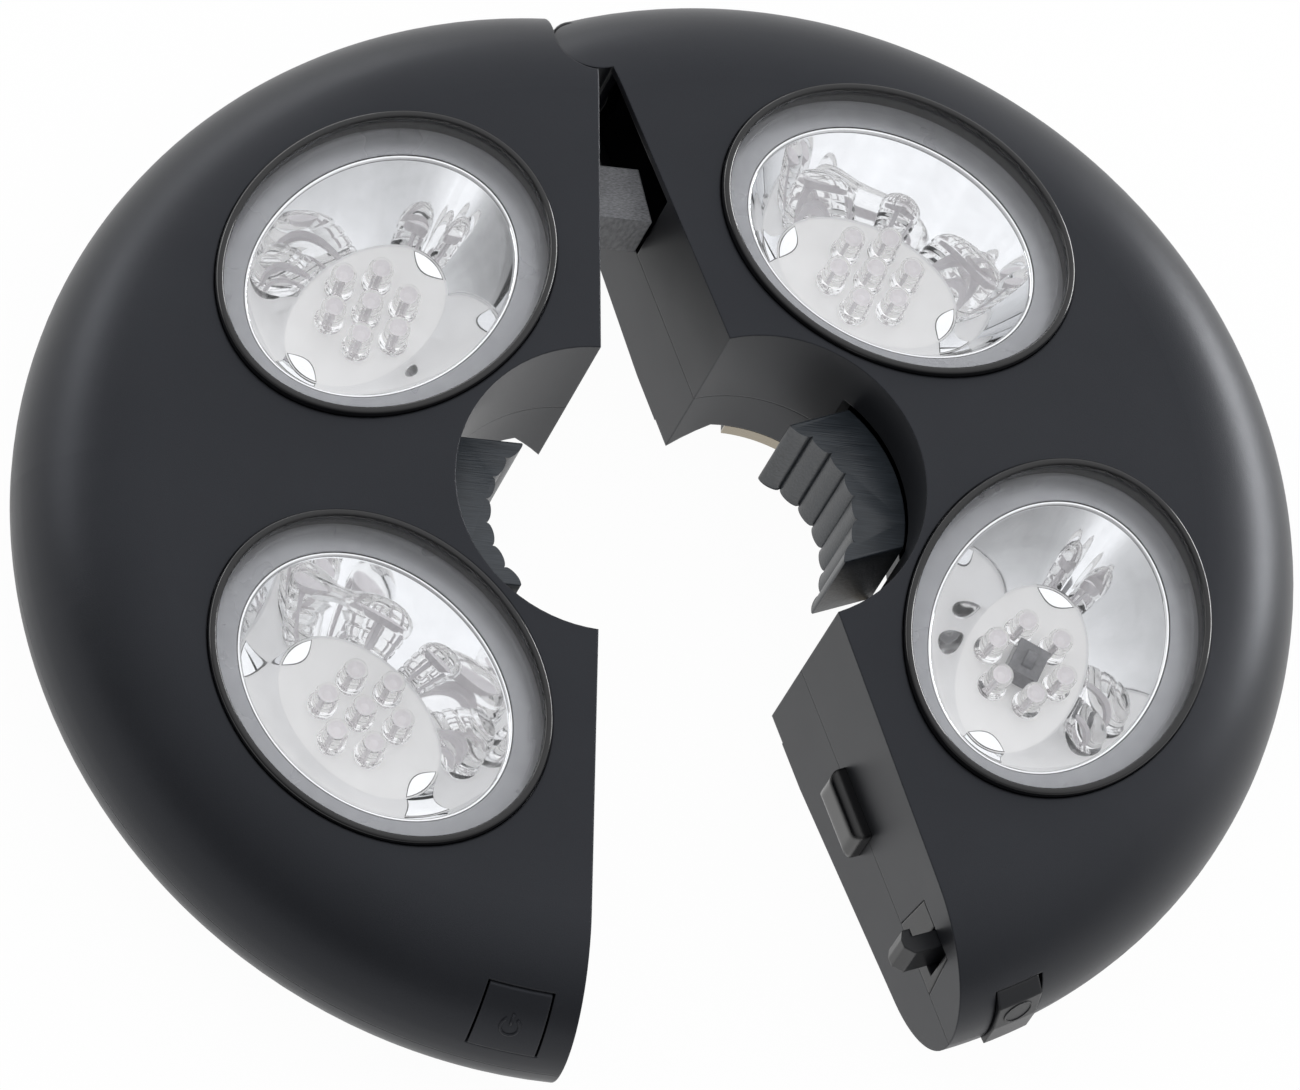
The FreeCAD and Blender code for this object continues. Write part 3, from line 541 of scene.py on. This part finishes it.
def build_leds(side, level):
    """Clear round diodes on the board, with a cup and two posts inside each."""
    cup_z = 0.0058
    cup = [(0.0, cup_z), (0.0008, cup_z), (0.0014, cup_z + 0.0006), (0.0013, cup_z + 0.0006),
           (0.0006, cup_z + 0.0003), (0.0, cup_z + 0.0003)]
    posts = ((-0.0004, 0.0, cup_z), (0.0013, 0.0016, 0.0060))
    post_half = 0.0002
    post_low = 0.0004 - board_depth
    clear = []
    leads = []
    for x, y in led_spots(side, level):
        clear.append(lathe(led_profile(), 32, x, y, -board_depth))
        leads.append(lathe(cup, 16, x, y, -board_depth))
        for start, end, top in posts:
            leads.append(block(x + start, x + end, y - post_half, y + post_half, post_low,
                               top - board_depth))
    lamp_piece("diodes", side, level, gather(clear), led_mat, "leds")
    lamp_piece("diode_leads", side, level, gather(leads), lead_mat, smooth=False)


def floor_end(sign):
    """Plan outline of one end of the bowl's floor: the floor's arc and an inner curve."""
    half_angle = 19
    bulge = 0.0019
    inset = 0.985
    steps = 12
    outline = []
    for i in range(steps + 1):
        a = math.radians(-half_angle + 2 * half_angle * i / steps)
        outline.append((sign * board_major * math.cos(a) * inset, board_minor * math.sin(a) * inset))
    bottom = outline[0]
    top = outline[-1]
    for i in range(1, steps):
        share = i / steps
        outline.append((top[0] - sign * bulge * math.sin(math.pi * share),
                        top[1] + (bottom[1] - top[1]) * share))
    return outline


def widened(outline, spread):
    """The outline with each point moved away from the middle."""
    mid_x = sum(x for x, y in outline) / len(outline)
    rows = []
    for x, y in outline:
        away = math.hypot(x - mid_x, y)
        rows.append((x + (x - mid_x) / away * spread, y + y / away * spread))
    return rows


def build_floor_ends(side, level):
    """Bright ends of the bowl's floor, seen past the board, each ringed by a slightly larger dark
    grey plate that is painted shade of the groove around it.
    """
    underside = -board_depth - 0.0002
    for name, lift, spread, material in (("floor_ends", 0.00012, 0.0, mirror_mat),
                                         ("painted_groove_shades", 0.00006, 0.00022, groove_shade_mat)):
        parts = [prism(widened(floor_end(sign), spread), lift - board_depth, underside)
                 for sign in (1, -1)]
        lamp_piece(name, side, level, gather(parts), material, smooth=False)


for side, level in lamps:
    build_reflector(side, level)
    build_rim(side, level)
    build_leds(side, level)
    build_floor_ends(side, level)


# ---- marks ----
def rim_point(degrees, z, lift):
    """Point over the left half's rim, at a polar angle of the half's own place."""
    angle = math.radians(degrees)
    radius = rim_radius(z)
    slope = math.atan2(z - seam_height, radius - rim_centre)
    radius += lift * math.cos(slope)
    return half_to_world("left", (radius * math.cos(angle), radius * math.sin(angle),
                                  z + lift * math.sin(slope)))


def raised_line(path, width, height):
    """Low rounded ridge that follows a path of (angle, z) along the rim's skin."""
    section = [(-0.5, -0.3), (-0.42, 0.6), (-0.2, 1.0), (0.2, 1.0), (0.42, 0.6), (0.5, -0.3)]
    count = len(section)
    verts = []
    for i, (degrees, z) in enumerate(path):
        before = path[max(i - 1, 0)]
        after = path[min(i + 1, len(path) - 1)]
        da = math.radians(after[0] - before[0]) * outer_radius
        dz = after[1] - before[1]
        length = math.hypot(da, dz)
        na, nz = -dz / length, da / length
        for across, up in section:
            verts.append(rim_point(degrees + math.degrees(na * across * width / outer_radius),
                                   z + nz * across * width, up * height))
    faces = ring_faces(len(path), count)
    faces.append(tuple(range(count)))
    faces.append(tuple((len(path) - 1) * count + k for k in range(count)))
    return verts, faces


def arc_path(middle, z, radius, start, end, steps):
    path = []
    for i in range(steps + 1):
        a = math.radians(start + (end - start) * i / steps)
        path.append((middle + math.degrees(radius * math.sin(a) / outer_radius),
                     z + radius * math.cos(a)))
    return path


def build_power_sign():
    """Generic power sign on the tab: an open ring and an upright bar."""
    width = 0.0007
    height = 0.00022
    ring = arc_path(tab_angle, 0.0360, 0.0019, 35, 325, 40)
    bar = [(tab_angle, z) for z in (0.0363, 0.0370, 0.0386)]
    verts, faces = gather([raised_line(path, width, height) for path in (ring, bar)])
    make_object("power_sign", verts, faces, "power_tab", shell_mat)


def build_button_ring():
    """Plain raised ring on the bevelled face of the release button."""
    ring_radius = 0.0030
    line_width = 0.0006
    line_height = 0.0002
    steps = 40
    section = [(-0.5, -0.3), (-0.3, 0.8), (0.3, 0.8), (0.5, -0.3)]
    low_z = seam_height + button_bevel
    high_z = button_top - button_bevel
    low_r = outer_radius + button_proud / 2
    high_r = rim_radius(high_z) + button_proud
    lean = math.atan2(low_r - high_r, high_z - low_z)
    verts = []
    for i in range(steps):
        a = 2 * math.pi * i / steps
        for across, up in section:
            reach = ring_radius + across * line_width
            z = (low_z + high_z) / 2 + reach * math.cos(a)
            radius = low_r + (high_r - low_r) * (z - low_z) / (high_z - low_z)
            angle = math.radians(button_angle) + reach * math.sin(a) / radius
            lift = up * line_height
            radius += lift * math.cos(lean)
            verts.append(half_to_world("right", (radius * math.cos(angle), radius * math.sin(angle),
                                                 z + lift * math.sin(lean))))
    faces = ring_faces(steps, len(section), closed=True)
    make_object("button_ring", verts, faces, "latch", latch_mat)


build_power_sign()
build_button_ring()


# ---- grip pads ----
def pad_outline():
    """Plan of a pad: full round ribs towards the pole and a round back."""
    rib_steps = 14
    back_steps = 24
    front = math.asin(pad_half_width / (pad_inner_radius + pad_groove * 0.5))
    outline = []
    for i in range(pad_ribs * rib_steps + 1):
        a = -front + 2 * front * i / (pad_ribs * rib_steps)
        share = (i % rib_steps) / rib_steps
        crest = math.sqrt(max(0.0, 1 - (2 * share - 1) ** 2))
        radius = pad_inner_radius + pad_groove * (1 - crest)
        y = max(-pad_half_width, min(pad_half_width, radius * math.sin(a)))
        outline.append((min(radius * math.cos(a), pad_back_radius), y))
    edge = math.asin(pad_half_width / pad_back_radius)
    for i in range(back_steps + 1):
        a = edge - 2 * edge * i / back_steps
        outline.append((pad_back_radius * math.cos(a), pad_back_radius * math.sin(a)))
    return outline


def pad_levels():
    """Heights of a pad's rings, and how far each is drawn in at the soft top and bottom edges."""
    low = seam_height - pad_half_height
    high = seam_height + pad_half_height
    soft = 0.0003
    pinch = 0.02
    edge_steps = 4
    straight_steps = 6
    edge = []
    for i in range(edge_steps + 1):
        a = math.pi / 2 * i / edge_steps
        edge.append((1 - (1 - math.sin(a)) * pinch, soft * (1 - math.cos(a))))
    rows = [(share, low + rise) for share, rise in edge]
    for i in range(1, straight_steps):
        rows.append((1.0, low + soft + (high - low - 2 * soft) * i / straight_steps))
    return rows + [(share, high - rise) for share, rise in reversed(edge)]


def build_pad(side):
    """Rubber pad whose ribs run along the pole."""
    outline = pad_outline()
    levels = pad_levels()
    count = len(outline)
    middle = sum(x for x, y in outline) / count
    verts = []
    for share, z in levels:
        for x, y in outline:
            verts.append(half_to_world(side, (middle + (x - middle) * share, y * share, z)))
    faces = ring_faces(len(levels), count)
    faces.append(tuple(range(count)))
    faces.append(tuple((len(levels) - 1) * count + i for i in range(count)))
    obj = make_object(side + "_rubber_pad", verts, faces, side + "_pad", grip_mat)
    obj.data.set_sharp_from_angle(angle=math.radians(50))
    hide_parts(side + "_grip_pad")


for side in ("left", "right"):
    build_pad(side)


# ---- floor, light and camera ----
def build_stage():
    """Pale floor that is plain white to the camera and in reflections, but keeps the shadow."""
    half_size = 6.0
    floor_z = -0.0006
    white_share = 0.97
    corners = ((-1, -1), (1, -1), (1, 1), (-1, 1))
    mesh = bpy.data.meshes.new("floor")
    mesh.from_pydata([(x * half_size, y * half_size, floor_z) for x, y in corners], [],
                     [(0, 1, 2, 3)])
    floor = bpy.data.objects.new("floor", mesh)
    bpy.context.collection.objects.link(floor)
    mat, tree, out = new_material("floor_white")
    diffuse = add(tree, "ShaderNodeBsdfDiffuse")
    diffuse.inputs["Color"].default_value = (0.86, 0.86, 0.86, 1)
    glow = add(tree, "ShaderNodeEmission")
    glow.inputs["Strength"].default_value = 1.0
    path = add(tree, "ShaderNodeLightPath").outputs
    seen = maths(tree, "MAXIMUM", path["Is Camera Ray"], path["Is Glossy Ray"])
    seen = maths(tree, "MAXIMUM", seen, path["Is Transmission Ray"])
    mix = mix_shaders(tree, maths(tree, "MULTIPLY", seen, white_share), diffuse, glow)
    tree.links.new(mix.outputs[0], out.inputs["Surface"])
    mesh.materials.append(mat)


def area_light(name, place, aim, width, height, power):
    data = bpy.data.lights.new(name, "AREA")
    data.shape = "RECTANGLE"
    data.size = width
    data.size_y = height
    data.energy = power
    obj = bpy.data.objects.new(name, data)
    obj.location = place
    direction = Vector(aim) - Vector(place)
    obj.rotation_euler = direction.to_track_quat("-Z", "Y").to_euler()
    bpy.context.collection.objects.link(obj)


def build_light():
    """Soft sky that is brighter above and behind, with three weak strips around the rim."""
    world = bpy.data.worlds.new("studio")
    bpy.context.scene.world = world
    world.use_nodes = True
    tree = world.node_tree
    background = tree.nodes["Background"]
    background.inputs["Color"].default_value = (0.985, 0.99, 1.0, 1)
    coords = add(tree, "ShaderNodeTexCoord").outputs["Generated"]
    facing = add(tree, "ShaderNodeVectorMath", operation="DOT_PRODUCT")
    facing.inputs[1].default_value = (0.30, 0.50, 0.80)
    tree.links.new(coords, facing.inputs[0])
    fade = add(tree, "ShaderNodeMapRange")
    for name, value in (("From Min", -0.3), ("From Max", 0.8), ("To Min", 0.24), ("To Max", 1.25)):
        fade.inputs[name].default_value = value
    tree.links.new(facing.outputs["Value"], fade.inputs["Value"])
    tree.links.new(fade.outputs["Result"], background.inputs["Strength"])
    area_light("key", (-1.0, 0.55, 0.18), (-0.05, 0.02, 0.02), 0.8, 0.4, 2.5)
    area_light("rear", (-0.55, 1.10, 0.05), (-0.06, 0.08, 0.02), 1.2, 0.25, 3.5)
    area_light("side", (1.15, 0.60, 0.12), (0.10, 0.0, 0.02), 0.7, 0.3, 11.0)


def build_camera():
    """Camera fitted to the outline and corners of the light in the photograph."""
    data = bpy.data.cameras.new("camera")
    data.sensor_width = 36.0
    data.lens = 409.7
    data.clip_end = 20
    camera = bpy.data.objects.new("camera", data)
    right = Vector((0.970908, 0.006423, 0.239366))
    down = Vector((0.103522, -0.91265, -0.395414))
    look = Vector((0.215918, 0.408691, -0.886764))
    matrix = Matrix((right, -down, -look)).transposed().to_4x4()
    matrix.translation = Vector((-0.607748, -1.180197, 2.589469))
    camera.matrix_world = matrix
    bpy.context.collection.objects.link(camera)
    bpy.context.scene.camera = camera


build_stage()
build_light()
build_camera()
bpy.context.scene.view_settings.view_transform = "Standard"
